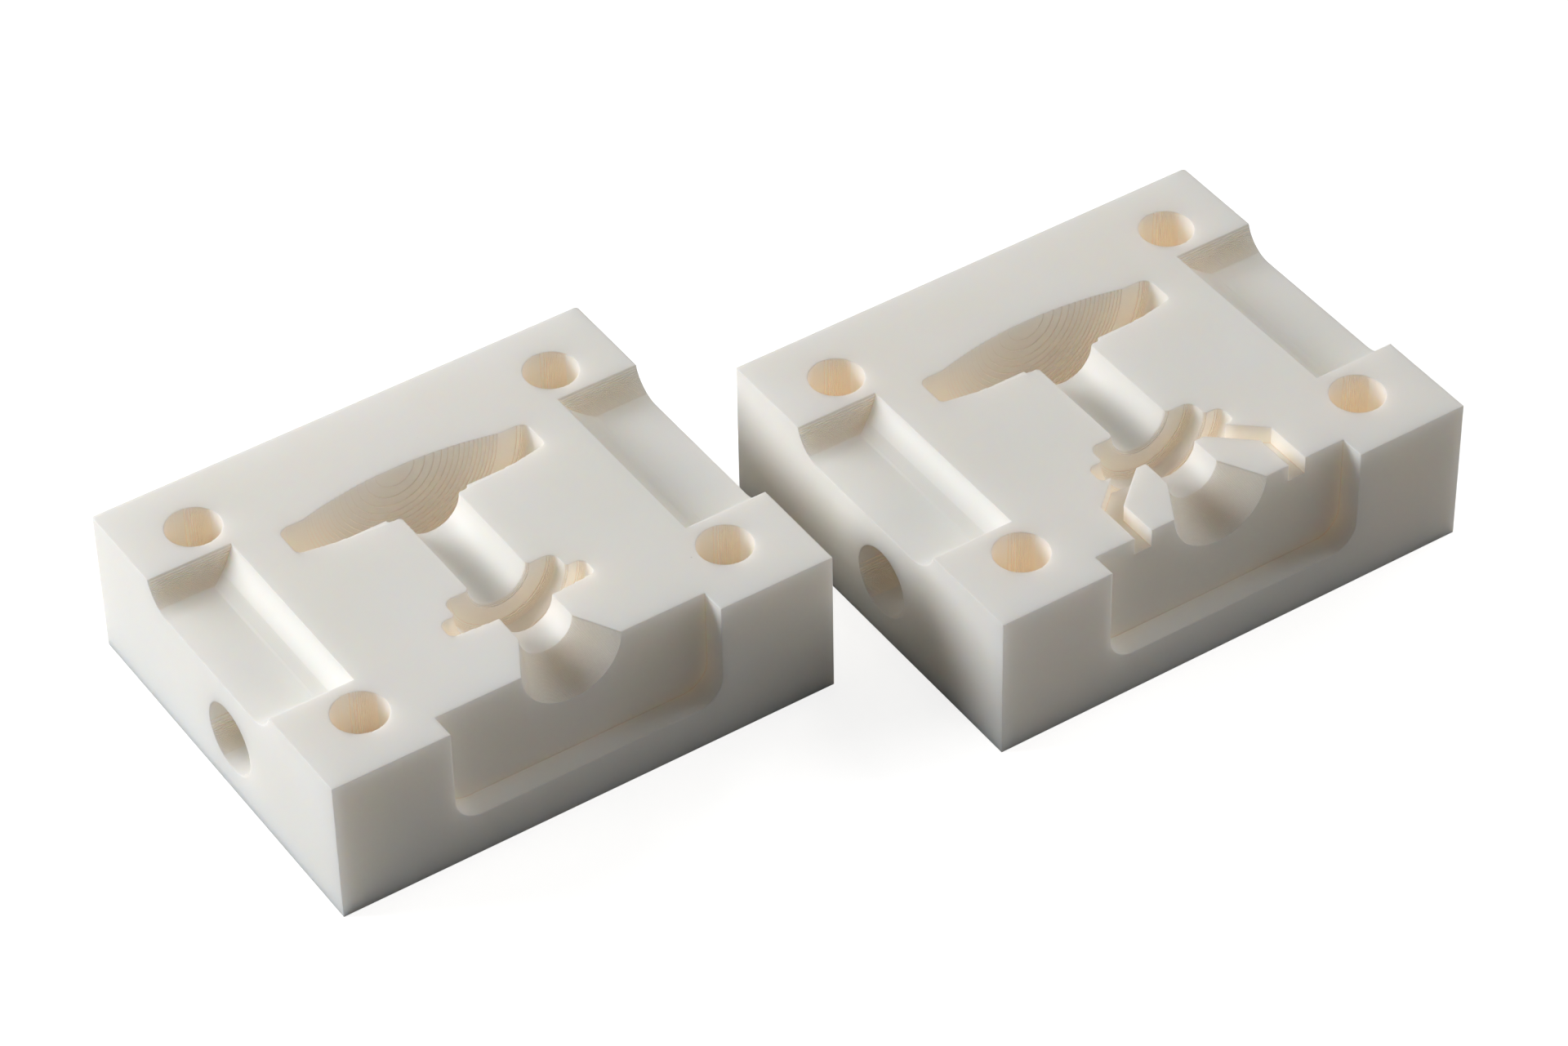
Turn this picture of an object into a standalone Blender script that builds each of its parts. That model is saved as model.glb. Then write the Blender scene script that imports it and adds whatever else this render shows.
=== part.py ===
"""Two-part block mould, lying open: two halves side by side and four locating dowels.

Lengths are in millimetres here and become metres where the meshes are made.
Each half is drawn in its own corner frame: X along its width, Y from the gate end
to the back, Z up from the table to the parting face.
"""
import math

import bmesh
import bpy
from mathutils import Vector

MM = 0.001

# Blocks
WIDTH = 60.0
DEPTH = 50.0
HEIGHT = 18.0
BACK_EDGE_ROUND = 1.0

# Where the halves lie: the origin is under the middle of the whole layout
HALF_B_SHIFT_X = 68.5
HALF_B_SHIFT_Y = -18.5
CORNER_A = Vector((-(WIDTH + HALF_B_SHIFT_X) / 2, -(DEPTH + HALF_B_SHIFT_Y) / 2, 0.0))
CORNER_B = CORNER_A + Vector((HALF_B_SHIFT_X, HALF_B_SHIFT_Y, 0.0))

# Dowels and their holes
HOLE_INSET = 8.0
HOLE_RADIUS = 3.1
DOWEL_RADIUS = 3.0
DOWEL_LENGTH = 12.0
DOWEL_CHAMFER = 0.5
DOWEL_BOTTOM = 0.2

# Cross bore under the stem
BORE_RADIUS = 4.2
BORE_Y = 22.0
BORE_Z = 7.5

# Pry pockets in the two long edges of the parting face
POCKET_WIDTH = 10.0
POCKET_LENGTH = 25.0
POCKET_DEPTH = 3.0
POCKET_ROUND = 2.6

# Recess for the nozzle at the gate end
RECESS_WIDTH = 32.4
RECESS_DEPTH = 3.0
RECESS_FLOOR = 5.3
RECESS_ROUND = 3.2

# Cavity: a domed cap, a stem and a two-step flange, turned about one axis
CAP_RADIUS = 15.2
CAP_BACK = 36.4
CAP_FRONT = 32.1
CAP_BACK_ROUND = 1.0
CAP_FRONT_ROUND = 0.8
DOME_RADIUS = 12.0
DOME_RISE = 1.6
DOME_TIP = 1.6
CAP_SOFFIT_BEND = (12.0, 31.7)
CAP_SOFFIT_END = (4.1, 30.95)
STEM_RADIUS = 3.45
STEM_BACK = 30.6
FLANGE_1_RADIUS = 6.7
FLANGE_1_BACK = 17.2
FLANGE_1_ROUND = 1.1
FLANGE_2_RADIUS = 8.75
FLANGE_2_BACK = 14.7
FLANGE_2_ROUND = 0.9
FLANGE_FRONT = 12.1
FLANGE_FRONT_INNER = 11.8
STEM_FILLET = 0.6
STEP_FILLET = 0.5

# Gate: a neck and a funnel that opens into the recess
NECK_RADIUS = 3.2
FUNNEL_START = 8.0
FUNNEL_RADIUS = 6.0

# Vents, in half B only
VENT_WIDTH = 2.2
VENT_DEPTH = 2.2
VENT_OFFSET = 10.05
VENT_BEND_Y = 8.4
VENT_ANGLE = math.radians(41.0)
VENT_INNER_Y = 12.9

# Closing: half B turns over onto half A and swivels into line with the dowels
CLOSED_GAP = 0.3

OVERSHOOT = 1.0
CIRCLE_STEPS = 32
TURNED_STEPS = 48
ARC_STEPS = 4
DOME_STEPS = 6


def clear_scene():
    for thing in list(bpy.data.objects):
        bpy.data.objects.remove(thing, do_unlink=True)


def make_material(name, colour, roughness, metallic):
    material = bpy.data.materials.new(name)
    material.use_nodes = True
    shader = material.node_tree.nodes["Principled BSDF"]
    shader.inputs["Base Color"].default_value = (*colour, 1.0)
    shader.inputs["Roughness"].default_value = roughness
    shader.inputs["Metallic"].default_value = metallic
    material.diffuse_color = (*colour, 1.0)
    return material


def loft(name, rings, material=None):
    """Closed object through rings of equal length, in millimetres, with flat end caps."""
    mesh = bpy.data.meshes.new(name)
    shape = bmesh.new()
    loops = [[shape.verts.new(Vector(point) * MM) for point in ring] for ring in rings]
    count = len(loops[0])
    for low, high in zip(loops, loops[1:]):
        for i in range(count):
            j = (i + 1) % count
            shape.faces.new((low[i], low[j], high[j], high[i]))
    shape.faces.new(loops[0][::-1])
    shape.faces.new(loops[-1])
    bmesh.ops.recalc_face_normals(shape, faces=shape.faces)
    shape.to_mesh(mesh)
    shape.free()
    thing = bpy.data.objects.new(name, mesh)
    bpy.context.collection.objects.link(thing)
    if material:
        mesh.materials.append(material)
    return thing


def arc(centre, radius, start, end, steps=ARC_STEPS):
    """Points on an arc from start to end, in degrees, both ends included."""
    angles = [math.radians(start + (end - start) * k / steps) for k in range(steps + 1)]
    return [(centre[0] + radius * math.cos(a), centre[1] + radius * math.sin(a)) for a in angles]


def circle(radius, steps):
    turns = [2 * math.pi * k / steps for k in range(steps)]
    return [(radius * math.cos(a), radius * math.sin(a)) for a in turns]


def place(thing, location):
    thing.location = Vector(location) * MM


def cut(target, cutter):
    """Take the cutter out of the target; the cutter stays as a hidden guide."""
    cutter.hide_render = True
    cutter.display_type = "WIRE"
    cutter.parent = target
    modifier = target.modifiers.new(cutter.name, "BOOLEAN")
    modifier.operation = "DIFFERENCE"
    modifier.object = cutter


def block(name, material):
    """Rectangular block whose back face has rounded edges."""
    def ring(y, inset):
        low_x, high_x = inset, WIDTH - inset
        low_z, high_z = inset, HEIGHT - inset
        return [(low_x, y, low_z), (high_x, y, low_z), (high_x, y, high_z), (low_x, y, high_z)]

    rounded = arc((BACK_EDGE_ROUND, DEPTH - BACK_EDGE_ROUND), BACK_EDGE_ROUND, 180, 90)
    return loft(name, [ring(0.0, 0.0)] + [ring(y, inset) for inset, y in rounded], material)


def dowel_hole(name, x, y):
    rings = [[(x + u, y + v, z) for u, v in circle(HOLE_RADIUS, CIRCLE_STEPS)]
             for z in (-OVERSHOOT, HEIGHT + OVERSHOOT)]
    return loft(name, rings)


def cross_bore(name):
    rings = [[(x, BORE_Y + u, BORE_Z + v) for u, v in circle(BORE_RADIUS, CIRCLE_STEPS)]
             for x in (-OVERSHOOT, WIDTH + OVERSHOOT)]
    return loft(name, rings)


def pry_pocket(name, side):
    """Shallow pocket, open to one side, whose three walls run into the floor in a round."""
    def ring(z, inset):
        low_y = (DEPTH - POCKET_LENGTH) / 2 + inset
        high_y = (DEPTH + POCKET_LENGTH) / 2 - inset
        near, far = -OVERSHOOT, POCKET_WIDTH - inset
        corners = [(near, low_y), (far, low_y), (far, high_y), (near, high_y)]
        return [(x if side == "left" else WIDTH - x, y, z) for x, y in corners]

    floor = HEIGHT - POCKET_DEPTH
    rounded = arc((POCKET_ROUND, floor + POCKET_ROUND), POCKET_ROUND, 270, 180, 5)
    rings = [ring(z, inset) for inset, z in rounded]
    return loft(name, rings + [ring(HEIGHT + OVERSHOOT, 0.0)])


def nozzle_recess(name):
    """Recess in the gate end, open upwards, with round bottom corners."""
    left = (WIDTH - RECESS_WIDTH) / 2
    right = (WIDTH + RECESS_WIDTH) / 2
    corner_z = RECESS_FLOOR + RECESS_ROUND
    outline = [(left, HEIGHT + OVERSHOOT)]
    outline += arc((left + RECESS_ROUND, corner_z), RECESS_ROUND, 180, 270)
    outline += arc((right - RECESS_ROUND, corner_z), RECESS_ROUND, 270, 360)
    outline += [(right, HEIGHT + OVERSHOOT)]
    rings = [[(x, y, z) for x, z in outline] for y in (-OVERSHOOT, RECESS_DEPTH)]
    return loft(name, rings)


def dome_profile():
    """Radius and Y down the cap's domed back, from the flat tip to the dome's rim."""
    sphere = (DOME_RADIUS ** 2 + DOME_RISE ** 2) / (2 * DOME_RISE)
    radii = [DOME_TIP + (DOME_RADIUS - DOME_TIP) * k / DOME_STEPS for k in range(DOME_STEPS + 1)]
    top = CAP_BACK + DOME_RISE
    return [(r, top - (sphere - math.sqrt(sphere ** 2 - r ** 2))) for r in radii]


def cavity_profile():
    """Radius and Y of the cavity and gate, from the dome down to the funnel's mouth."""
    back_corner = (CAP_RADIUS - CAP_BACK_ROUND, CAP_BACK - CAP_BACK_ROUND)
    front_corner = (CAP_RADIUS - CAP_FRONT_ROUND, CAP_FRONT + CAP_FRONT_ROUND)
    stem_corner = (STEM_RADIUS + STEM_FILLET, FLANGE_1_BACK + STEM_FILLET)
    rim_1 = (FLANGE_1_RADIUS - FLANGE_1_ROUND, FLANGE_1_BACK - FLANGE_1_ROUND)
    step_corner = (FLANGE_1_RADIUS + STEP_FILLET, FLANGE_2_BACK + STEP_FILLET)
    rim_2 = (FLANGE_2_RADIUS - FLANGE_2_ROUND, FLANGE_2_BACK - FLANGE_2_ROUND)
    rim_3 = (FLANGE_2_RADIUS - FLANGE_2_ROUND, FLANGE_FRONT + FLANGE_2_ROUND)
    slope = (FUNNEL_RADIUS - NECK_RADIUS) / (FUNNEL_START - RECESS_DEPTH)
    mouth = RECESS_DEPTH - OVERSHOOT / 2
    profile = dome_profile()
    profile += arc(back_corner, CAP_BACK_ROUND, 90, 0)
    profile += arc(front_corner, CAP_FRONT_ROUND, 0, -90)
    profile += [CAP_SOFFIT_BEND, CAP_SOFFIT_END, (STEM_RADIUS, STEM_BACK)]
    profile += arc(stem_corner, STEM_FILLET, 180, 270)
    profile += arc(rim_1, FLANGE_1_ROUND, 90, 0)
    profile += arc(step_corner, STEP_FILLET, 180, 270)
    profile += arc(rim_2, FLANGE_2_ROUND, 90, 0)
    profile += arc(rim_3, FLANGE_2_ROUND, 0, -90)
    profile += [(NECK_RADIUS, FLANGE_FRONT_INNER), (NECK_RADIUS, FUNNEL_START)]
    profile += [(NECK_RADIUS + slope * (FUNNEL_START - mouth), mouth)]
    return profile


def cavity(name):
    """The moulded shape and its gate, turned about the line at mid-width on the parting face."""
    rings = [[(WIDTH / 2 + u, y, HEIGHT + v) for u, v in circle(radius, TURNED_STEPS)]
             for radius, y in cavity_profile()]
    return loft(name, rings)


def vent(name, side):
    """Groove from the flange to the recess: a slanted run, a bend and a straight run."""
    half = VENT_WIDTH / 2
    run = (VENT_INNER_Y - VENT_BEND_Y) / math.sin(VENT_ANGLE)
    inner = Vector((VENT_OFFSET - run * math.cos(VENT_ANGLE), VENT_INNER_Y))
    across = Vector((math.sin(VENT_ANGLE), math.cos(VENT_ANGLE))) * half
    lean = half * math.tan((math.pi / 2 - VENT_ANGLE) / 2)
    front = RECESS_DEPTH - OVERSHOOT / 2
    outline = [
        inner - across,
        Vector((VENT_OFFSET - half, VENT_BEND_Y - lean)),
        Vector((VENT_OFFSET - half, front)),
        Vector((VENT_OFFSET + half, front)),
        Vector((VENT_OFFSET + half, VENT_BEND_Y + lean)),
        inner + across,
    ]
    rings = [[(WIDTH / 2 + side * point.x, point.y, z) for point in outline]
             for z in (HEIGHT - VENT_DEPTH, HEIGHT + OVERSHOOT)]
    return loft(name, rings)


def hole_places():
    """Name and place of each corner hole in a half's own corner frame."""
    for end, y in (("front", HOLE_INSET), ("back", DEPTH - HOLE_INSET)):
        for side, x in (("left", HOLE_INSET), ("right", WIDTH - HOLE_INSET)):
            yield f"{end}_{side}", x, y


def mould_half(name, material, vented):
    half = block(name, material)
    cut(half, cavity(f"{name}_cut_cavity"))
    cut(half, nozzle_recess(f"{name}_cut_recess"))
    cut(half, cross_bore(f"{name}_cut_bore"))
    for side in ("left", "right"):
        cut(half, pry_pocket(f"{name}_cut_pocket_{side}", side))
    for place_name, x, y in hole_places():
        cut(half, dowel_hole(f"{name}_cut_hole_{place_name}", x, y))
    if vented:
        cut(half, vent(f"{name}_cut_vent_left", -1))
        cut(half, vent(f"{name}_cut_vent_right", 1))
    return half


def dowel_pin(name, material, x, y):
    """Plain dowel with chamfered ends; its origin is on its own axis, at its foot."""
    outline = [
        (DOWEL_RADIUS - DOWEL_CHAMFER, 0.0),
        (DOWEL_RADIUS, DOWEL_CHAMFER),
        (DOWEL_RADIUS, DOWEL_LENGTH - DOWEL_CHAMFER),
        (DOWEL_RADIUS - DOWEL_CHAMFER, DOWEL_LENGTH),
    ]
    rings = [[(u, v, z) for u, v in circle(radius, CIRCLE_STEPS)] for radius, z in outline]
    pin = loft(name, rings, material)
    pin.data.shade_smooth()
    pin.data.set_sharp_from_angle(angle=math.radians(30))
    place(pin, CORNER_A + Vector((x, y, DOWEL_BOTTOM)))
    return pin


def turn_over_pivot():
    """Empty on the axis that half B turns about: its Y is the axis.

    The axis bisects the line from half A's front left hole to half B's front right one,
    so that half a turn brings the second hole over the first.
    """
    hole_a = CORNER_A + Vector((HOLE_INSET, HOLE_INSET, 0.0))
    hole_b = CORNER_B + Vector((WIDTH - HOLE_INSET, HOLE_INSET, 0.0))
    middle = (hole_a + hole_b) / 2
    pivot = bpy.data.objects.new("half_b_turn_over_pivot", None)
    pivot.empty_display_size = 10 * MM
    bpy.context.collection.objects.link(pivot)
    place(pivot, (middle.x, middle.y, HEIGHT + CLOSED_GAP / 2))
    apart = hole_b - hole_a
    pivot.rotation_euler.z = math.atan2(apart.y, apart.x)
    return pivot


def build():
    clear_scene()
    resin = make_material("mould_resin", (0.80, 0.78, 0.73), 0.5, 0.0)
    steel = make_material("dowel_steel", (0.60, 0.60, 0.61), 0.35, 1.0)

    half_a = mould_half("mould_half_a", resin, vented=False)
    place(half_a, CORNER_A)

    half_b = mould_half("mould_half_b", resin, vented=True)
    pivot = turn_over_pivot()
    place(half_b, CORNER_B)
    bpy.context.view_layer.update()
    half_b.parent = pivot
    half_b.matrix_parent_inverse = pivot.matrix_world.inverted()

    for place_name, x, y in hole_places():
        dowel_pin(f"dowel_pin_{place_name}", steel, x, y)


build()
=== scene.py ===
import math

import bmesh
import bpy
import numpy as np
from mathutils import Matrix, Vector


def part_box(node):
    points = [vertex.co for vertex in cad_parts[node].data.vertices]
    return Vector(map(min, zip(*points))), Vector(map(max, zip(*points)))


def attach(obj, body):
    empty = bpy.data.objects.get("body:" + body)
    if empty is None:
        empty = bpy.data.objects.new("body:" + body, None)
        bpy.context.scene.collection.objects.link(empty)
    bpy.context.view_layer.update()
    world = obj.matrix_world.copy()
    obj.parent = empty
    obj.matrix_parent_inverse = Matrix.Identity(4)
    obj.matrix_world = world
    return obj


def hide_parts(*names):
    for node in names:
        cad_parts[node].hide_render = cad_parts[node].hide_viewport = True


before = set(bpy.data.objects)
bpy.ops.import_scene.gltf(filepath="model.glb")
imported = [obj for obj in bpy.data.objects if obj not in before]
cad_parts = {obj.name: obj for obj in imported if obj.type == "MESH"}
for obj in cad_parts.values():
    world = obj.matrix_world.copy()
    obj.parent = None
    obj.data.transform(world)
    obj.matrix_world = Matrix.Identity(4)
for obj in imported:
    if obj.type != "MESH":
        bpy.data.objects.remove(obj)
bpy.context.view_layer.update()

# ---------------------------------------------------------------- sizes, in millimetres
MM = 0.001
WIDTH = 60.0
DEPTH = 50.0
HEIGHT = 18.0
LAYER = 0.1             # the print's layers lie square to Y
STEP_SLOPE = 0.5        # a wall shows steps where it moves sideways more than this per unit of Y

BACK_ROUND = 1.0
HOLE_INSET = 8.0
HOLE_RADIUS = 3.1
BORE_RADIUS = 4.2
BORE_Y = 22.0
BORE_Z = 7.5
POCKET_WIDTH = 10.0
POCKET_LENGTH = 25.0
POCKET_DEPTH = 3.0
POCKET_ROUND = 4.0      # more than the depth, so the walls lean a little at their tops
POCKET_SWEEP = 1.6      # the long wall's round is this much longer across than it is high
RECESS_WIDTH = 32.4
RECESS_DEPTH = 3.0
RECESS_FLOOR = 5.3
RECESS_ROUND = 3.2
LEDGE_DEPTH = 0.13
VENT_WIDTH = 2.2
VENT_DEPTH = 2.2
VENT_OFFSET = 10.05
VENT_BEND_Y = 8.4
VENT_ANGLE = math.radians(41.0)
VENT_INNER_Y = 12.9
DOWEL_RADIUS = 3.0
DOWEL_CHAMFER = 0.5
DOWEL_END_ROUND = 0.08  # where the chamfer meets the end
DOWEL_SIDE_ROUND = 0.12
DOWEL_SHOULDER = 2.0    # a ring this far from each end keeps the side's shading straight
DOWEL_CENTRE = 0.4      # radius of the small face at the middle of each end
DOWEL_TURN_STEPS = 72

TURN_STEPS = 72         # over the half turn of the cavity
BLOCK_SHARP = math.radians(28)      # edges that turn more than this are shaded sharp
DOWEL_SHARP = math.radians(35)
OVER = 1.0              # how far a cutter runs past the block
SLIVER = 0.002          # least height of a step in a cutter, so that no face has zero area
CLOSEST = 0.004         # points of a stepped wall nearer than this are one point
SAME = 1e-6             # lengths that differ by less are equal

# ---------------------------------------------------------------- looks and stage, in metres
RESIN_DARK = (0.975, 0.940, 0.870)
RESIN_LIGHT = (0.990, 0.965, 0.905)
# painted shade: the warmer colour painted into hollows
PAINTED_HOLLOW_SHADE = (0.985, 0.940, 0.860)
DUST_COLOUR = (0.42, 0.36, 0.29)
DUST_CELLS_KEPT = 0.14  # share of the dust's cells that hold a speck
DUST_SIZE = 0.018       # as a share of a cell
SPREAD_COLOUR = (1.0, 0.76, 0.56)
SPREAD_REACH = 0.008
SPREAD_SHARE = 0.6
# painted glow: the colour and strength of the emission painted into hollows
PAINTED_GLOW_COLOUR = (1.0, 0.68, 0.42)
PAINTED_GLOW_STRENGTH = 0.14
HOLLOW_REACH = 0.007
OPEN_LIMIT = 0.62       # share of open sky above which a place is not a hollow
SHUT_LIMIT = 0.08
CREASE_REACH = 0.00016
# painted shade: the colour mixed into the creases between layer steps
CREASE_SHADE = (0.50, 0.43, 0.34)
CREASE_SHARE = 0.55
RIM_REACH = 0.0003      # how far from the block's outer planes the rims are rounded
RIM_RADIUS = 0.0002
RIM_LOW = 0.0005        # no rim is rounded below this height, close to the floor
LIGHT_DISTANCE = 0.7
FLOOR_REACH = 3.0
FLOOR_Z = -0.00005
BOUNCE_Z = -0.0001
SHOWN_TONES = (0.66, 0.70, 0.80)    # darkest and lightest grey, and the strength of the glow
BOUNCE_TONES = (0.50, 0.54, 0.0)
WORLD_STRENGTH = 0.05


# ---------------------------------------------------------------- mesh helpers
def make_object(name, shape):
    mesh = bpy.data.meshes.new(name)
    shape.to_mesh(mesh)
    shape.free()
    thing = bpy.data.objects.new(name, mesh)
    bpy.context.scene.collection.objects.link(thing)
    return thing


def loft(name, rings):
    """Closed solid through rings of equal length, in the millimetres of its own frame."""
    shape = bmesh.new()
    loops = [[shape.verts.new(Vector(point) * MM) for point in ring] for ring in rings]
    count = len(loops[0])
    for low, high in zip(loops, loops[1:]):
        for i in range(count):
            j = (i + 1) % count
            shape.faces.new((low[i], low[j], high[j], high[i]))
    shape.faces.new(loops[0][::-1])
    shape.faces.new(loops[-1])
    bmesh.ops.recalc_face_normals(shape, faces=shape.faces)
    return make_object(name, shape)


def arc(centre, radius, start, end, steps):
    angles = [math.radians(start + (end - start) * k / steps) for k in range(steps + 1)]
    return [(centre[0] + radius * math.cos(a), centre[1] + radius * math.sin(a)) for a in angles]


def layered(low, high, across):
    """Points (y, across) along a wall from low to high Y, stepped at layers where it is shallow.

    across(y) is the wall's distance from its middle line. A step takes the value at the
    layer's middle, as the printer's slicer does.
    """
    first = math.ceil(low / LAYER - SAME)
    last = math.floor(high / LAYER + SAME)
    edges = [low] + [k * LAYER for k in range(first, last + 1)] + [high]
    edges = [edge for i, edge in enumerate(edges) if i == 0 or edge - edges[i - 1] > SAME]
    points = []
    for start, end in zip(edges, edges[1:]):
        begin, middle, finish = across(start), across((start + end) / 2), across(end)
        if abs(finish - begin) > STEP_SLOPE * (end - start):
            points += [(start, middle), (end, middle)]
        else:
            points += [(start, begin), (end, finish)]
    tidy = []
    for point in points:
        if tidy and math.hypot(point[0] - tidy[-1][0], point[1] - tidy[-1][1]) < CLOSEST:
            continue
        if len(tidy) > 1 and all(abs(old[1] - point[1]) < SAME for old in tidy[-2:]):
            tidy.pop()
        tidy.append(point)
    return tidy


def round_outline(centre_y, radius):
    """Outline (across, y) of a round hole cut by layers square to Y."""
    def across(y):
        return math.sqrt(max(radius ** 2 - (y - centre_y) ** 2, 0.0))

    side = layered(centre_y - radius, centre_y + radius, across)
    side = [(y, u) for y, u in side if u > 0.02]
    return [(u, y) for y, u in side] + [(-u, y) for y, u in reversed(side)]


# ---------------------------------------------------------------- the blocks and their cutters
def block(name):
    def inset(y):
        reach = max(y - (DEPTH - BACK_ROUND), 0.0)
        return BACK_ROUND - math.sqrt(max(BACK_ROUND ** 2 - reach ** 2, 0.0))

    def ring(y, gap):
        return [(gap, y, gap), (WIDTH - gap, y, gap), (WIDTH - gap, y, HEIGHT - gap),
                (gap, y, HEIGHT - gap)]

    back = layered(DEPTH - BACK_ROUND, DEPTH, inset)
    return loft(name, [ring(0.0, 0.0)] + [ring(y, gap) for y, gap in back])


def hole_cutter(name, x, y):
    outline = round_outline(y, HOLE_RADIUS)
    return loft(name, [[(x + u, v, z) for u, v in outline] for z in (-OVER, HEIGHT + OVER)])


def bore_cutter(name):
    outline = round_outline(BORE_Y, BORE_RADIUS)
    rings = [[(x, v, BORE_Z + u) for u, v in outline] for x in (-OVER, WIDTH + OVER)]
    return loft(name, rings)


def pocket_levels():
    """(z, inset of the long wall, inset of the end walls) up the pocket's round sides."""
    centre = HEIGHT - POCKET_DEPTH + POCKET_ROUND
    run = math.sqrt(POCKET_ROUND ** 2 - (centre - HEIGHT) ** 2)

    def height(inset):
        return centre - math.sqrt(max(POCKET_ROUND ** 2 - (run - inset) ** 2, 0.0))

    def inset_at(z):
        return run - math.sqrt(max(POCKET_ROUND ** 2 - (centre - z) ** 2, 0.0))

    levels = []
    for inset, z in reversed(layered(0.0, run, height)):
        if levels and z < levels[-1][0] + SLIVER:
            z = levels[-1][0] + SLIVER
        levels.append((z, POCKET_SWEEP * inset_at(z), inset))
    return levels


def pocket_cutter(name, side):
    low, high = (DEPTH - POCKET_LENGTH) / 2, (DEPTH + POCKET_LENGTH) / 2

    def ring(z, gap_x, gap_y):
        near, far = -OVER, POCKET_WIDTH - gap_x
        points = [(near, low + gap_y), (far, low + gap_y), (far, high - gap_y), (near, high - gap_y)]
        return [(x if side < 0 else WIDTH - x, y, z) for x, y in points]

    rings = [ring(*level) for level in pocket_levels()]
    return loft(name, rings + [ring(HEIGHT + OVER, -SLIVER, -SLIVER)])


def recess_cutter(name):
    left, right = (WIDTH - RECESS_WIDTH) / 2, (WIDTH + RECESS_WIDTH) / 2
    centre_z = RECESS_FLOOR + RECESS_ROUND
    outline = [(left, HEIGHT + OVER)]
    outline += arc((left + RECESS_ROUND, centre_z), RECESS_ROUND, 180, 270, 16)
    outline += arc((right - RECESS_ROUND, centre_z), RECESS_ROUND, 270, 360, 16)
    outline += [(right, HEIGHT + OVER)]
    return loft(name, [[(x, y, z) for x, z in outline] for y in (-OVER, RECESS_DEPTH)])


def cavity_profile():
    """(y, radius) of the cavity and its gate from the recess to the top of the dome."""
    profile = [(2.5, 6.28), (8.0, 3.2), (11.76, 3.2)]
    profile += [(11.95, 6.0)]
    profile += [(y, r) for r, y in arc((8.0, 12.85), 0.75, 270, 360, 8)]
    profile += [(y, r) for r, y in arc((7.8, 13.75), 0.95, 0, 90, 8)]
    profile += [(y, r) for r, y in arc((7.2, 15.2), 0.5, 270, 180, 6)]
    profile += [(y, r) for r, y in arc((5.6, 16.1), 1.1, 0, 90, 8)]
    profile += [(y, r) for r, y in arc((4.05, 17.8), 0.6, 270, 180, 6)]
    profile += [(30.6, 3.45), (30.8, 3.75), (30.87, 4.75), (31.38, 4.95), (31.40, 7.2), (31.44, 9.6)]
    profile += [(31.58, 12.0)]
    profile += [(y, r) for r, y in arc((14.45, 32.79), 0.75, 270, 360, 8)]
    profile += [(y, r) for r, y in arc((14.2, 35.35), 1.0, 0, 90, 8)]
    dome = [12.0 - 10.4 * k / 24 for k in range(25)]
    sphere = (12.0 ** 2 + 1.6 ** 2) / (2 * 1.6)
    profile += [(36.4 + 1.6 - sphere + math.sqrt(sphere ** 2 - r ** 2), r) for r in dome]
    return profile


def cavity_cutter(name):
    profile = cavity_profile()
    ys = [y for y, _ in profile]
    for i in range(1, len(ys)):
        ys[i] = max(ys[i], ys[i - 1] + 1e-5)
    radii = [r for _, r in profile]
    steps = layered(ys[0], ys[-1], lambda y: float(np.interp(y, ys, radii)))
    turn = [math.pi + math.pi * k / TURN_STEPS for k in range(TURN_STEPS + 1)]
    rings = []
    for y, r in steps:
        ring = [(WIDTH / 2 + r * math.cos(a), y, HEIGHT + r * math.sin(a)) for a in turn]
        top = HEIGHT + OVER + 0.01 * r
        ring += [(WIDTH / 2 + r, y, top), (WIDTH / 2 - r, y, top)]
        rings.append(ring)
    return loft(name, rings)


def ledge_cutter(name, side):
    """Shallow strip along the front rim of the cap's cavity."""
    outline = [(4.3, 30.86), (6.5, 31.0), (8.4, 31.14), (10.6, 31.3), (12.0, 31.6), (14.5, 32.04),
               (14.5, 32.6), (4.3, 32.6)]
    rings = [[(WIDTH / 2 + side * x, y, z) for x, y in outline]
             for z in (HEIGHT - LEDGE_DEPTH, HEIGHT + OVER)]
    return loft(name, rings)


def vent_cutter(name, side):
    half = VENT_WIDTH / 2
    run = (VENT_INNER_Y - VENT_BEND_Y) / math.sin(VENT_ANGLE)
    inner = Vector((VENT_OFFSET - run * math.cos(VENT_ANGLE), VENT_INNER_Y))
    across = Vector((math.sin(VENT_ANGLE), math.cos(VENT_ANGLE))) * half
    lean = half * math.tan((math.pi / 2 - VENT_ANGLE) / 2)
    front = RECESS_DEPTH - OVER / 2
    outline = [inner - across, (VENT_OFFSET - half, VENT_BEND_Y - lean), (VENT_OFFSET - half, front),
               (VENT_OFFSET + half, front), (VENT_OFFSET + half, VENT_BEND_Y + lean), inner + across]
    rings = [[(WIDTH / 2 + side * point[0], point[1], z) for point in outline]
             for z in (HEIGHT - VENT_DEPTH, HEIGHT + OVER)]
    return loft(name, rings)


def cut_all(solid, cutters):
    for cutter in cutters:
        modifier = solid.modifiers.new(cutter.name, "BOOLEAN")
        modifier.operation = "DIFFERENCE"
        modifier.solver = "EXACT"
        modifier.object = cutter
    bpy.context.view_layer.update()
    shaped = solid.evaluated_get(bpy.context.evaluated_depsgraph_get())
    mesh = bpy.data.meshes.new_from_object(shaped)
    solid.modifiers.clear()
    solid.data = mesh
    for cutter in cutters:
        bpy.data.objects.remove(cutter, do_unlink=True)
    mesh.shade_smooth()
    mesh.set_sharp_from_angle(angle=BLOCK_SHARP)


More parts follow.
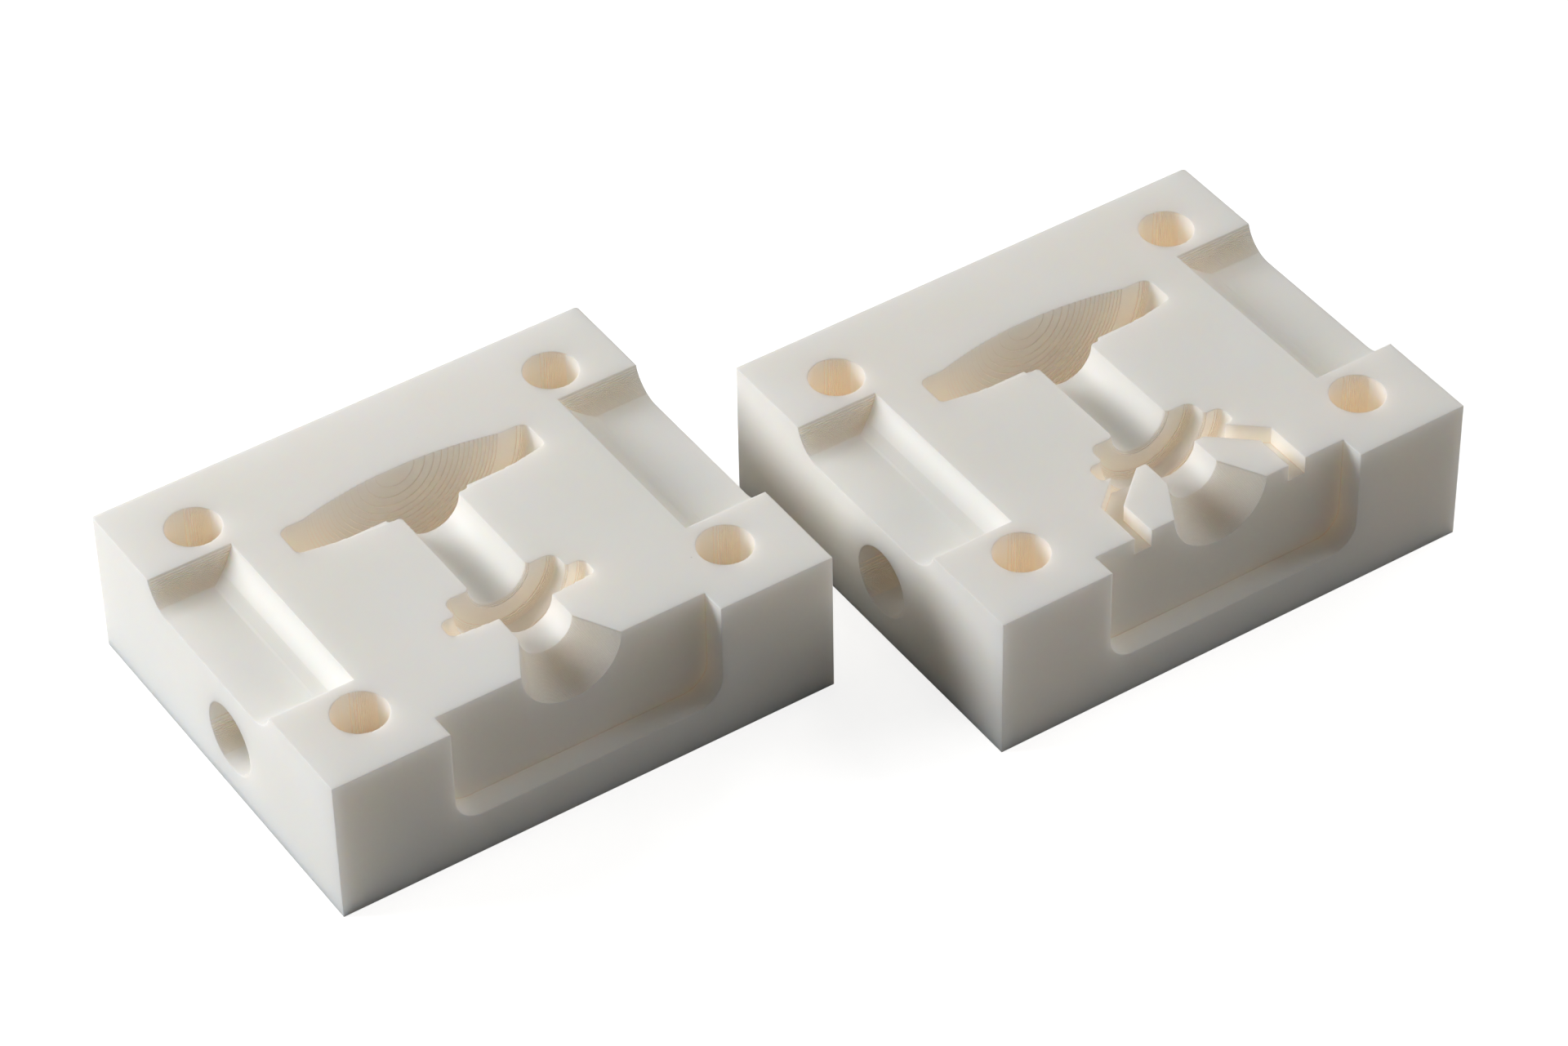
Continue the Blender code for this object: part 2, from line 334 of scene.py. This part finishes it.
def printed_half(name, node, vented):
    solid = block(name)
    cutters = [
        cavity_cutter("cut_cavity"),
        recess_cutter("cut_recess"),
        bore_cutter("cut_bore"),
    ]
    for side in (-1, 1):
        cutters.append(ledge_cutter(f"cut_ledge_{side}", side))
        cutters.append(pocket_cutter(f"cut_pocket_{side}", side))
        if vented:
            cutters.append(vent_cutter(f"cut_vent_{side}", side))
        x = HOLE_INSET if side < 0 else WIDTH - HOLE_INSET
        for y in (HOLE_INSET, DEPTH - HOLE_INSET):
            cutters.append(hole_cutter(f"cut_hole_{side}_{y:.0f}", x, y))
    cut_all(solid, cutters)
    solid.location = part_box(node)[0]
    return solid


def turned_dowel(name, node):
    low, high = (Vector(corner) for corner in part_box(node))
    top = (high.z - low.z) / MM
    end = DOWEL_RADIUS - DOWEL_CHAMFER - DOWEL_END_ROUND
    side = DOWEL_RADIUS - DOWEL_SIDE_ROUND
    outline = [(DOWEL_CENTRE, 0.0)]
    outline += arc((end, DOWEL_END_ROUND), DOWEL_END_ROUND, 270, 315, 3)
    outline += arc((side, DOWEL_CHAMFER), DOWEL_SIDE_ROUND, 330, 360, 3)
    outline += [(DOWEL_RADIUS, DOWEL_SHOULDER), (DOWEL_RADIUS, top - DOWEL_SHOULDER)]
    outline += arc((side, top - DOWEL_CHAMFER), DOWEL_SIDE_ROUND, 0, 30, 3)
    outline += arc((end, top - DOWEL_END_ROUND), DOWEL_END_ROUND, 45, 90, 3)
    outline += [(DOWEL_CENTRE, top)]
    turn = [2 * math.pi * k / DOWEL_TURN_STEPS for k in range(DOWEL_TURN_STEPS)]
    pin = loft(name, [[(r * math.cos(a), r * math.sin(a), z) for a in turn] for r, z in outline])
    pin.data.shade_smooth()
    pin.data.set_sharp_from_angle(angle=DOWEL_SHARP)
    pin.location = ((low.x + high.x) / 2, (low.y + high.y) / 2, low.z)
    return pin


# ---------------------------------------------------------------- materials
def new_material(name):
    material = bpy.data.materials.new(name)
    material.use_nodes = True
    tree = material.node_tree
    return material, tree, tree.nodes["Principled BSDF"]


def add(tree, kind, **values):
    node = tree.nodes.new(kind)
    for key, value in values.items():
        setattr(node, key, value)
    return node


def maths(tree, operation, a, b=None):
    node = add(tree, "ShaderNodeMath", operation=operation)
    for i, value in enumerate((a, b)):
        if value is None:
            continue
        if isinstance(value, (int, float)):
            node.inputs[i].default_value = value
        else:
            tree.links.new(value, node.inputs[i])
    return node.outputs[0]


def near_plane(tree, coordinate, value, reach):
    """1 where a coordinate, in metres, is at value, falling to 0 at reach away from it."""
    away = maths(tree, "ABSOLUTE", maths(tree, "SUBTRACT", coordinate, value))
    ramp = add(tree, "ShaderNodeMapRange", interpolation_type="SMOOTHSTEP")
    ramp.inputs["From Min"].default_value = reach
    ramp.inputs["From Max"].default_value = reach * 0.5
    tree.links.new(away, ramp.inputs["Value"])
    return ramp.outputs["Result"]


def resin_material():
    material, tree, shader = new_material("ivory_resin")
    link = tree.links.new
    where = add(tree, "ShaderNodeTexCoord")
    own = add(tree, "ShaderNodeObjectInfo")
    point = where.outputs["Object"]
    shifted = add(tree, "ShaderNodeVectorMath", operation="ADD")
    link(point, shifted.inputs[0])
    link(own.outputs["Random"], shifted.inputs[1])
    point_own = shifted.outputs["Vector"]
    split = add(tree, "ShaderNodeSeparateXYZ")
    link(point, split.inputs["Vector"])

    # Broad, faint mottling of the colour
    mottle = add(tree, "ShaderNodeTexNoise")
    mottle.inputs["Scale"].default_value = 90.0
    mottle.inputs["Detail"].default_value = 3.0
    link(point_own, mottle.inputs["Vector"])
    tone = add(tree, "ShaderNodeValToRGB")
    tone.color_ramp.elements[0].position = 0.35
    tone.color_ramp.elements[0].color = (*RESIN_DARK, 1)
    tone.color_ramp.elements[1].position = 0.70
    tone.color_ramp.elements[1].color = (*RESIN_LIGHT, 1)
    link(mottle.outputs["Fac"], tone.inputs["Fac"])

    # A few tiny specks of dust in the surface
    dust = add(tree, "ShaderNodeTexVoronoi", feature="F1")
    dust.inputs["Scale"].default_value = 170.0
    link(point_own, dust.inputs["Vector"])
    few = add(tree, "ShaderNodeTexWhiteNoise")
    link(dust.outputs["Position"], few.inputs["Vector"])
    chosen = maths(tree, "GREATER_THAN", few.outputs["Value"], 1 - DUST_CELLS_KEPT)
    near = maths(tree, "LESS_THAN", dust.outputs["Distance"], DUST_SIZE)
    speck = maths(tree, "MULTIPLY", maths(tree, "MULTIPLY", chosen, near), 0.3)
    colour = add(tree, "ShaderNodeMix", data_type="RGBA")
    colour.inputs["B"].default_value = (*DUST_COLOUR, 1)
    link(speck, colour.inputs["Factor"])

    # Painted light and shade in the hollows: where the occlusion finds a hollow, the base colour is
    # painted warmer and a faint emission glow is painted in, standing in for the light that comes
    # through the resin
    open_sky = add(tree, "ShaderNodeAmbientOcclusion", samples=6, only_local=True)
    open_sky.inputs["Distance"].default_value = HOLLOW_REACH
    shut = add(tree, "ShaderNodeMapRange", interpolation_type="SMOOTHSTEP")
    shut.inputs["From Min"].default_value = OPEN_LIMIT
    shut.inputs["From Max"].default_value = SHUT_LIMIT
    link(open_sky.outputs["AO"], shut.inputs["Value"])
    hollow = shut.outputs["Result"]
    painted_hollow = add(tree, "ShaderNodeMix", data_type="RGBA")
    painted_hollow.inputs["B"].default_value = (*PAINTED_HOLLOW_SHADE, 1)
    link(hollow, painted_hollow.inputs["Factor"])
    link(tone.outputs["Color"], painted_hollow.inputs["A"])
    link(painted_hollow.outputs["Result"], colour.inputs["A"])

    # Painted shade: the creases between layer steps are darkened in the base colour where a short
    # occlusion finds them
    fine = add(tree, "ShaderNodeAmbientOcclusion", samples=4, only_local=True)
    fine.inputs["Distance"].default_value = CREASE_REACH
    shaded = maths(tree, "SUBTRACT", 1.0, fine.outputs["AO"])
    crease = maths(tree, "MULTIPLY", shaded, CREASE_SHARE)
    creased = add(tree, "ShaderNodeMix", data_type="RGBA")
    creased.inputs["B"].default_value = (*CREASE_SHADE, 1)
    link(crease, creased.inputs["Factor"])
    link(colour.outputs["Result"], creased.inputs["A"])
    link(creased.outputs["Result"], shader.inputs["Base Color"])
    # the emission is a painted glow in the hollows, not a lamp
    shader.inputs["Emission Color"].default_value = (*PAINTED_GLOW_COLOUR, 1)
    glow = maths(tree, "MULTIPLY", hollow, PAINTED_GLOW_STRENGTH)
    link(glow, shader.inputs["Emission Strength"])

    # Layer lines: a fine ripple square to Y, stronger where the wall leans towards Y
    turn = maths(tree, "MULTIPLY", split.outputs["Y"], 2 * math.pi / (LAYER * MM))
    ripple = maths(tree, "SINE", turn)
    facing = add(tree, "ShaderNodeNewGeometry")
    lean = add(tree, "ShaderNodeSeparateXYZ")
    link(facing.outputs["True Normal"], lean.inputs["Vector"])
    leaning = maths(tree, "MULTIPLY", maths(tree, "ABSOLUTE", lean.outputs["Y"]), 0.8)
    ripple = maths(tree, "MULTIPLY", ripple, maths(tree, "ADD", leaning, 0.08))
    grain = add(tree, "ShaderNodeTexNoise")
    grain.inputs["Scale"].default_value = 2600.0
    grain.inputs["Detail"].default_value = 2.0
    link(point_own, grain.inputs["Vector"])
    relief = maths(tree, "ADD", ripple, maths(tree, "MULTIPLY", grain.outputs["Fac"], 0.35))
    bump = add(tree, "ShaderNodeBump")
    bump.inputs["Strength"].default_value = 0.5
    bump.inputs["Distance"].default_value = 0.000006
    link(relief, bump.inputs["Height"])

    # Rims on the block's outer planes are rounded a little; the steps inside stay crisp
    rim = None
    for axis, extent in (("X", WIDTH), ("Y", 0.0), ("Z", HEIGHT)):
        planes = (0.0, extent) if axis == "X" else (extent,)
        for value in planes:
            plane = near_plane(tree, split.outputs[axis], value * MM, RIM_REACH)
            rim = plane if rim is None else maths(tree, "MAXIMUM", rim, plane)
    above = maths(tree, "GREATER_THAN", split.outputs["Z"], RIM_LOW)
    rim = maths(tree, "MULTIPLY", rim, above)
    soft_edge = add(tree, "ShaderNodeBevel", samples=6)
    soft_edge.inputs["Radius"].default_value = RIM_RADIUS
    normal = add(tree, "ShaderNodeMix", data_type="VECTOR")
    link(rim, normal.inputs["Factor"])
    link(facing.outputs["Normal"], normal.inputs["A"])
    link(soft_edge.outputs["Normal"], normal.inputs["B"])
    link(normal.outputs["Result"], bump.inputs["Normal"])
    link(bump.outputs["Normal"], shader.inputs["Normal"])

    rough = add(tree, "ShaderNodeMapRange")
    rough.inputs["To Min"].default_value = 0.46
    rough.inputs["To Max"].default_value = 0.60
    link(mottle.outputs["Fac"], rough.inputs["Value"])
    link(rough.outputs["Result"], shader.inputs["Roughness"])
    shader.inputs["Subsurface Weight"].default_value = SPREAD_SHARE
    shader.inputs["Subsurface Radius"].default_value = SPREAD_COLOUR
    shader.inputs["Subsurface Scale"].default_value = SPREAD_REACH
    shader.inputs["IOR"].default_value = 1.5
    return material


def steel_material():
    material, tree, shader = new_material("ground_steel")
    link = tree.links.new
    where = add(tree, "ShaderNodeTexCoord")
    stretch = add(tree, "ShaderNodeMapping")
    stretch.inputs["Scale"].default_value = (1.0, 1.0, 14.0)
    link(where.outputs["Object"], stretch.inputs["Vector"])
    lines = add(tree, "ShaderNodeTexNoise")
    lines.inputs["Scale"].default_value = 500.0
    lines.inputs["Detail"].default_value = 4.0
    link(stretch.outputs["Vector"], lines.inputs["Vector"])
    tone = add(tree, "ShaderNodeValToRGB")
    tone.color_ramp.elements[0].color = (0.50, 0.50, 0.51, 1)
    tone.color_ramp.elements[1].color = (0.66, 0.66, 0.67, 1)
    link(lines.outputs["Fac"], tone.inputs["Fac"])
    link(tone.outputs["Color"], shader.inputs["Base Color"])
    rough = add(tree, "ShaderNodeMapRange")
    rough.inputs["To Min"].default_value = 0.22
    rough.inputs["To Max"].default_value = 0.42
    link(lines.outputs["Fac"], rough.inputs["Value"])
    link(rough.outputs["Result"], shader.inputs["Roughness"])
    bump = add(tree, "ShaderNodeBump")
    bump.inputs["Strength"].default_value = 0.3
    bump.inputs["Distance"].default_value = 0.00002
    link(lines.outputs["Fac"], bump.inputs["Height"])
    link(bump.outputs["Normal"], shader.inputs["Normal"])
    shader.inputs["Metallic"].default_value = 1.0
    return material


# ---------------------------------------------------------------- the object
resin = resin_material()
steel = steel_material()

for letter, vented in (("a", False), ("b", True)):
    node = f"mould_half_{letter}"
    half = printed_half(f"printed_half_{letter}", node, vented)
    half.data.materials.clear()
    half.data.materials.append(resin)
    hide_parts(node)
    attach(half, f"half_{letter}")

for place in ("front_left", "front_right", "back_left", "back_right"):
    node = f"dowel_pin_{place}"
    pin = turned_dowel(f"ground_dowel_{place}", node)
    pin.data.materials.append(steel)
    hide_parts(node)
    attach(pin, f"dowel_{place}")


# ---------------------------------------------------------------- floor, lights and camera
def pale_material(name, dark, light, glow):
    material, tree, shader = new_material(name)
    link = tree.links.new
    where = add(tree, "ShaderNodeTexCoord")
    cloud = add(tree, "ShaderNodeTexNoise")
    cloud.inputs["Scale"].default_value = 6.0
    link(where.outputs["Object"], cloud.inputs["Vector"])
    tone = add(tree, "ShaderNodeValToRGB")
    tone.color_ramp.elements[0].color = (dark, dark, dark, 1)
    tone.color_ramp.elements[1].color = (light, light, light, 1)
    link(cloud.outputs["Fac"], tone.inputs["Fac"])
    link(tone.outputs["Color"], shader.inputs["Base Color"])
    shader.inputs["Roughness"].default_value = 0.9
    shader.inputs["Emission Color"].default_value = (1, 1, 1, 1)
    shader.inputs["Emission Strength"].default_value = glow
    return material


def sheet_shape(z):
    shape = bmesh.new()
    corners = ((-FLOOR_REACH, -FLOOR_REACH), (FLOOR_REACH, -FLOOR_REACH), (FLOOR_REACH, FLOOR_REACH),
               (-FLOOR_REACH, FLOOR_REACH))
    shape.faces.new([shape.verts.new((x, y, z)) for x, y in corners])
    return shape


def cube_shape():
    shape = bmesh.new()
    bmesh.ops.create_cube(shape, size=2 * FLOOR_REACH)
    return shape


def staged(name, shape, material):
    sheet = make_object(name, shape)
    sheet.data.materials.append(material)
    return sheet


# The floor and backdrop that show are bright and light nothing; an unseen floor under them
# returns light to the object
floor = staged("floor", sheet_shape(FLOOR_Z), pale_material("pale_floor", *SHOWN_TONES))
backdrop = staged("backdrop", cube_shape(), pale_material("pale_backdrop", *SHOWN_TONES))
for shown in (floor, backdrop):
    shown.visible_diffuse = False
    shown.visible_glossy = False
    shown.visible_transmission = False
    shown.visible_shadow = False
bounce = staged("bounce_floor", sheet_shape(BOUNCE_Z), pale_material("bounce_floor", *BOUNCE_TONES))
bounce.visible_camera = False


def area_light(name, direction, size, power, colour):
    """Square soft light at LIGHT_DISTANCE along direction, aimed at the object."""
    data = bpy.data.lights.new(name, "AREA")
    data.energy = power
    data.size = size
    data.color = colour
    lamp = bpy.data.objects.new(name, data)
    bpy.context.scene.collection.objects.link(lamp)
    towards = Vector(direction).normalized()
    lamp.location = towards * LIGHT_DISTANCE
    lamp.rotation_euler = towards.to_track_quat("Z", "Y").to_euler()


# Name, degrees from -X towards +Y, elevation, size in metres, power in watts, colour
for name, azimuth, elevation, size, power, colour in (
        ("key", 41, 27, 0.40, 4.85, (1.0, 1.0, 1.0)),
        ("fill_right", 180, 38, 0.45, 1.9, (1.0, 0.98, 0.94)),
        ("fill_front", 225, 20, 0.40, 0.35, (1.0, 0.92, 0.82))):
    azimuth, elevation = math.radians(azimuth), math.radians(elevation)
    towards = (-math.cos(azimuth) * math.cos(elevation), math.sin(azimuth) * math.cos(elevation),
               math.sin(elevation))
    area_light(name, towards, size, power, colour)

world = bpy.data.worlds.new("studio")
world.use_nodes = True
bpy.context.scene.world = world
background = world.node_tree.nodes["Background"]
background.inputs["Color"].default_value = (1, 1, 1, 1)
background.inputs["Strength"].default_value = WORLD_STRENGTH

LENS = 131.04
AZIMUTH = math.radians(33.08)
ELEVATION = math.radians(41.92)
ROLL = math.radians(-1.181)
DISTANCE = 0.6074
AIM = Vector((0.0001, -0.00005, 0.009))

right = Vector((math.cos(AZIMUTH), -math.sin(AZIMUTH), 0.0))
back = Vector((-math.sin(AZIMUTH) * math.cos(ELEVATION), -math.cos(AZIMUTH) * math.cos(ELEVATION),
               math.sin(ELEVATION)))
up = back.cross(right)
turned_right = right * math.cos(ROLL) + up * math.sin(ROLL)
turned_up = up * math.cos(ROLL) - right * math.sin(ROLL)
camera_data = bpy.data.cameras.new("camera")
camera_data.lens = LENS
camera_data.sensor_width = 36.0
camera = bpy.data.objects.new("camera", camera_data)
bpy.context.scene.collection.objects.link(camera)
camera.matrix_world = Matrix.Translation(AIM + back * DISTANCE) @ Matrix(
    (turned_right, turned_up, back)).transposed().to_4x4()
bpy.context.scene.camera = camera
bpy.context.scene.view_settings.view_transform = "Standard"
